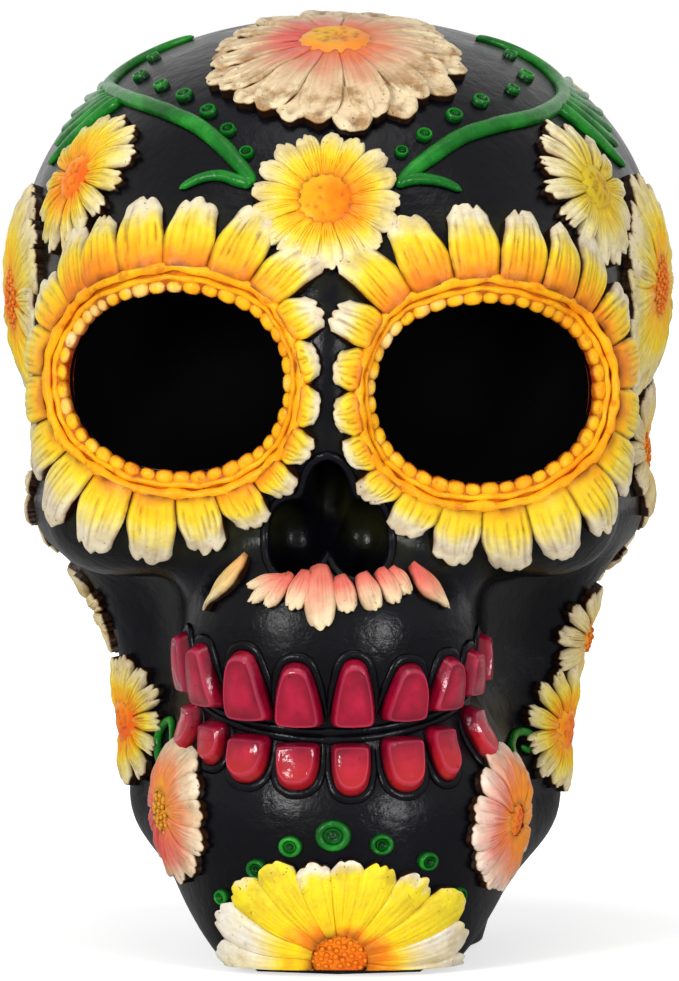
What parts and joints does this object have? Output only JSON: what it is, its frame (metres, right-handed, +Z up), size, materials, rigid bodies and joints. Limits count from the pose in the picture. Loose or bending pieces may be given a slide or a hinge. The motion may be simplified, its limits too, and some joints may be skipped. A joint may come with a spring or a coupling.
{
  "type": "sugar skull figurine",
  "caption": "Life-like small skull ornament with wide eye sockets ringed by petals, raised daisies and vines on the head, and a full grin of teeth, standing on a flat base.",
  "frame": {"origin": "on the underside of the felt base, below the middle of the skull", "axes": "+Z up through the crown, -Y out of the face, +X to the right of someone who looks at the face"},
  "size_m": [0.1078, 0.1346, 0.1485],
  "materials": {
    "black_resin": "satin",
    "yellow_paint": "hand painted, satin",
    "orange_paint": "hand painted, satin",
    "cream_paint": "hand painted, satin",
    "rose_paint": "hand painted, satin",
    "crimson_paint": "hand painted, glossy",
    "green_paint": "hand painted, satin",
    "felt": "matt felt"
  },
  "bodies": {
    "root": {"back_flower": "rose_paint", "chin_dot_1": "green_paint", "chin_dot_2": "green_paint", "chin_dot_3": "green_paint", "chin_dot_4": "green_paint", "chin_dot_5": "green_paint", "chin_dot_6": "green_paint", "chin_dot_7": "green_paint", "chin_flower": "yellow_paint", "cranium": "black_resin", "crown_flower_left": "yellow_paint", "crown_flower_right": "yellow_paint", "ear_flower_left": "cream_paint", "ear_flower_right": "cream_paint", "eye_petals_left": "yellow_paint", "eye_petals_right": "yellow_paint", "eye_ring_left": "orange_paint", "eye_ring_right": "orange_paint", "felt_base": "felt", "forehead_flower": "yellow_paint", "hinge_flower_left": "cream_paint", "hinge_flower_right": "cream_paint", "jaw_angle_flower_left": "yellow_paint", "jaw_angle_flower_right": "yellow_paint", "jaw_curl_left": "green_paint", "jaw_curl_right": "green_paint", "jaw_flower_left": "rose_paint", "jaw_flower_right": "rose_paint", "lower_tooth_left_1": "crimson_paint", "lower_tooth_left_2": "crimson_paint", "lower_tooth_left_3": "crimson_paint", "lower_tooth_left_4": "crimson_paint", "lower_tooth_right_1": "crimson_paint", "lower_tooth_right_2": "crimson_paint", "lower_tooth_right_3": "crimson_paint", "lower_tooth_right_4": "crimson_paint", "mandible": "black_resin", "moustache_leaf_left": "rose_paint", "moustache_leaf_right": "rose_paint", "moustache_petals": "rose_paint", "nape_flower_right": "cream_paint", "side_flower_left": "yellow_paint", "side_flower_right": "yellow_paint", "temple_flower_left": "yellow_paint", "temple_flower_right": "yellow_paint", "top_flower": "rose_paint", "upper_tooth_left_1": "crimson_paint", "upper_tooth_left_2": "crimson_paint", "upper_tooth_left_3": "crimson_paint", "upper_tooth_left_4": "crimson_paint", "upper_tooth_right_1": "crimson_paint", "upper_tooth_right_2": "crimson_paint", "upper_tooth_right_3": "crimson_paint", "upper_tooth_right_4": "crimson_paint", "upper_tooth_right_5": "crimson_paint", "vine_left": "green_paint", "vine_right": "green_paint"}
  },
  "joints": []
}
